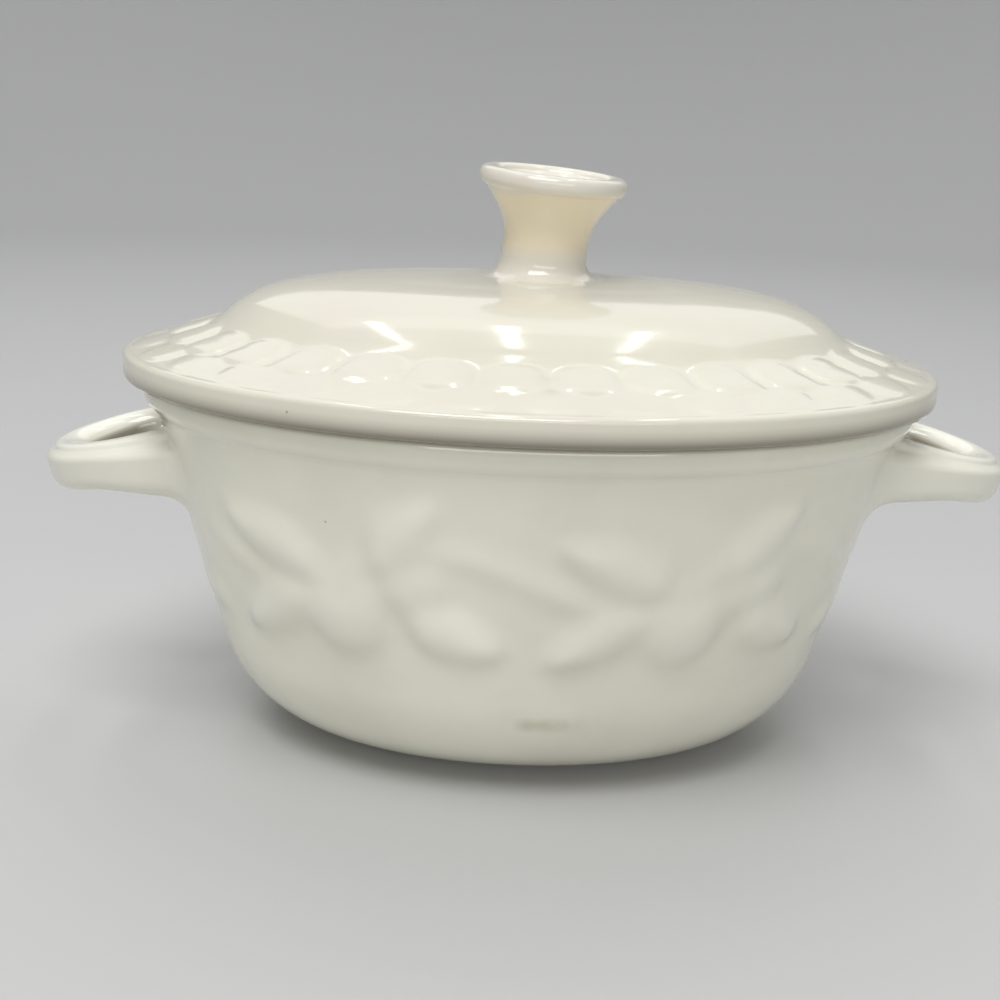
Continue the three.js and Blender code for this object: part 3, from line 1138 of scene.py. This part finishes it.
SENSOR = 36.0
CLIP_NEAR = 0.01
CLIP_FAR = 20.0

# Name, place, size and power of the lamps that face the crock
LAMPS = (
    ("key", (-0.2, -0.7, 1.35), (0.9, 0.7), 13.0),
    ("fill", (0.1, -1.45, 0.6), (1.6, 0.3), 5.2),
    ("back", (0.1, 1.3, 1.5), (2.4, 1.6), 9.0),
)

# Strip lamps that hang over the lid and face straight down
STRIPS = (("strip_left", -0.46), ("strip_middle", -0.04), ("strip_right", 0.35))
STRIP_BACK = 0.3
STRIP_HEIGHT = 1.3
STRIP_SIZE = (0.06, 0.7)
STRIP_POWER = 0.9

WORLD_COLOUR = (0.95, 0.97, 1.0)
WORLD_STRENGTH = 0.5

FLOOR_COLUMNS = 96
FLOOR_CORE = 0.01
FLOOR_FLAT = 1.4
FLOOR_SWEEP = 0.9
BACKDROP_TOP = 3.0


def add_camera(stage):
    """The camera of the photograph: turned about the crock, then panned, tilted and rolled"""
    level = math.cos(stage.elevation)
    across, forth = math.sin(stage.azimuth) * level, -math.cos(stage.azimuth) * level
    back = Vector((across, forth, math.sin(stage.elevation)))
    ahead = -back
    right = ahead.cross(Vector((0, 0, 1))).normalized()
    up = right.cross(ahead)
    right, ahead = turned(right, ahead, stage.pan)
    up, ahead = turned(up, ahead, stage.tilt)
    right, up = turned(right, up, -stage.roll)
    data = bpy.data.cameras.new("camera")
    data.lens = stage.lens
    data.sensor_width = SENSOR
    data.clip_start = CLIP_NEAR
    data.clip_end = CLIP_FAR
    camera = add_object("camera", data)
    place = Vector((0, 0, stage.target_height)) + back * stage.distance
    axes = Matrix((right, up, -ahead)).transposed().to_4x4()
    camera.matrix_world = Matrix.Translation(place) @ axes
    bpy.context.scene.camera = camera


def add_lamp(name, place, size, watts):
    """A soft rectangular lamp that faces straight down"""
    data = bpy.data.lights.new(name, "AREA")
    data.shape = "RECTANGLE"
    data.size, data.size_y = size
    data.energy = watts
    lamp = add_object(name, data)
    lamp.location = place
    return lamp


def add_lamps():
    for lamp_row in LAMPS:
        lamp = add_lamp(*lamp_row)
        back = lamp.location - Vector((0, 0, POT_TOP.z))
        lamp.rotation_euler = back.to_track_quat("Z", "Y").to_euler()
    for name, across in STRIPS:
        add_lamp(name, (across, STRIP_BACK, STRIP_HEIGHT), STRIP_SIZE, STRIP_POWER)


def add_floor(stage):
    """A pale floor that sweeps up into a backdrop all round"""
    wall = FLOOR_FLAT + FLOOR_SWEEP
    profile = joined(
        line((FLOOR_CORE, 0.0), (FLOOR_FLAT, 0.0), steps=10),
        arc((FLOOR_FLAT, FLOOR_SWEEP), FLOOR_SWEEP, -math.pi / 2, 0, steps=24),
        line((wall, FLOOR_SWEEP), (wall, BACKDROP_TOP), steps=4),
    )
    rings = round_turn(profile, full_turn(FLOOR_COLUMNS))
    index = np.arange(rings[..., 0].size).reshape(rings.shape[:2])
    faces = [*ring_faces(index), index[0, ::-1].tolist()]
    mesh = bpy.data.meshes.new("floor")
    mesh.from_pydata(rings.reshape(-1, 3).tolist(), [], faces)
    mesh.shade_smooth()
    material, _, shader = new_material("pale_floor")
    set_inputs(shader, Base_Color=rgba(stage.floor), Roughness=0.9)
    mesh.materials.append(material)
    add_object("floor", mesh)


# Operators


class CROCK_OT_stage(bpy.types.Operator):
    """Set the camera, the pale floor and the soft lamps"""

    bl_idname = "crock.stage"
    bl_label = "Stage"

    def execute(self, context):
        scene = context.scene
        add_camera(scene.crock_stage)
        add_floor(scene.crock_stage)
        add_lamps()
        world = bpy.data.worlds.new("studio")
        world.use_nodes = True
        background = world.node_tree.nodes["Background"]
        set_inputs(background, Color=rgba(WORLD_COLOUR), Strength=WORLD_STRENGTH)
        scene.world = world
        scene.view_settings.view_transform = "Standard"
        return {"FINISHED"}


class CROCK_OT_pot(bpy.types.Operator):
    """Build the pot with its garland, collar and bare foot ring"""

    bl_idname = "crock.pot"
    bl_label = "Pot"

    def execute(self, context):
        scene = context.scene
        colours = scene.crock_colours
        thing = build_pot(scene.crock_pot)
        glaze = glaze_material("pot_glaze", colours, colours.wall, clouds=0.3, extra=foot_stain)
        dress(thing, "pot", "pot_glaze", "pot_body", glaze, clay_material(colours))
        return {"FINISHED"}


class CROCK_OT_ears(bpy.types.Operator):
    """Build the two loop ears with their fillets"""

    bl_idname = "crock.ears"
    bl_label = "Ears"

    def execute(self, context):
        scene = context.scene
        ear, colours = scene.crock_ear, scene.crock_colours
        glaze = glaze_material("ear_glaze", colours, colours.ear, clouds=0.25)
        top = POT_TOP.z - ear.below_rim
        for side, level in (("left", top - ear.offset), ("right", top + ear.offset)):
            thing = build_ear(ear, scene.crock_pot, side, level)
            dress(thing, "pot", "ear_glaze", "handle_" + side, glaze)
        return {"FINISHED"}


class CROCK_OT_lid(bpy.types.Operator):
    """Build the lid with its gadroon border and dome"""

    bl_idname = "crock.lid"
    bl_label = "Lid"

    def execute(self, context):
        scene = context.scene
        colours = scene.crock_colours
        thing = build_lid(scene.crock_lid, scene.crock_pot)
        glaze = glaze_material("lid_glaze", colours, colours.lid, clouds=0.55)
        dress(thing, "cover", "lid_glaze", "lid", glaze)
        return {"FINISHED"}


class CROCK_OT_knob(bpy.types.Operator):
    """Build the flared knob and its fillet on the dome"""

    bl_idname = "crock.knob"
    bl_label = "Knob"

    def execute(self, context):
        scene = context.scene
        colours = scene.crock_colours
        thing = build_knob(scene.crock_knob, scene.crock_lid, scene.crock_pot)
        glaze = glaze_material("knob_glaze", colours, colours.knob, clouds=0.6, extra=knob_warmth)
        dress(thing, "cover", "knob_glaze", "lid_knob", glaze)
        return {"FINISHED"}


class CROCK_PT_sidebar(bpy.types.Panel):
    """Buttons and sizes of the crock"""

    bl_idname = "CROCK_PT_sidebar"
    bl_label = "Oval Covered Crock"
    bl_space_type = "VIEW_3D"
    bl_region_type = "UI"
    bl_category = "Crock"

    def draw(self, context):
        for operator in OPERATORS:
            self.layout.operator(operator.bl_idname)
        for name in GROUPS:
            group = getattr(context.scene, name)
            box = self.layout.box()
            box.label(text=name.replace("_", " ").capitalize())
            for prop in group.__annotations__:
                box.prop(group, prop)


OPERATORS = (CROCK_OT_stage, CROCK_OT_pot, CROCK_OT_ears, CROCK_OT_lid, CROCK_OT_knob)
GROUPS = {
    "crock_pot": PotSizes,
    "crock_ear": EarSizes,
    "crock_lid": LidSizes,
    "crock_knob": KnobSizes,
    "crock_colours": GlazeColours,
    "crock_stage": StageSizes,
}
CLASSES = (*GROUPS.values(), *OPERATORS, CROCK_PT_sidebar)


def register():
    for kind in CLASSES:
        bpy.utils.register_class(kind)
    for name, kind in GROUPS.items():
        setattr(bpy.types.Scene, name, PointerProperty(type=kind))


def unregister():
    for name in GROUPS:
        delattr(bpy.types.Scene, name)
    for kind in reversed(CLASSES):
        bpy.utils.unregister_class(kind)


def main():
    register()
    bpy.ops.crock.stage()
    bpy.ops.crock.pot()
    bpy.ops.crock.ears()
    bpy.ops.crock.lid()
    bpy.ops.crock.knob()


if __name__ == "__main__":
    main()
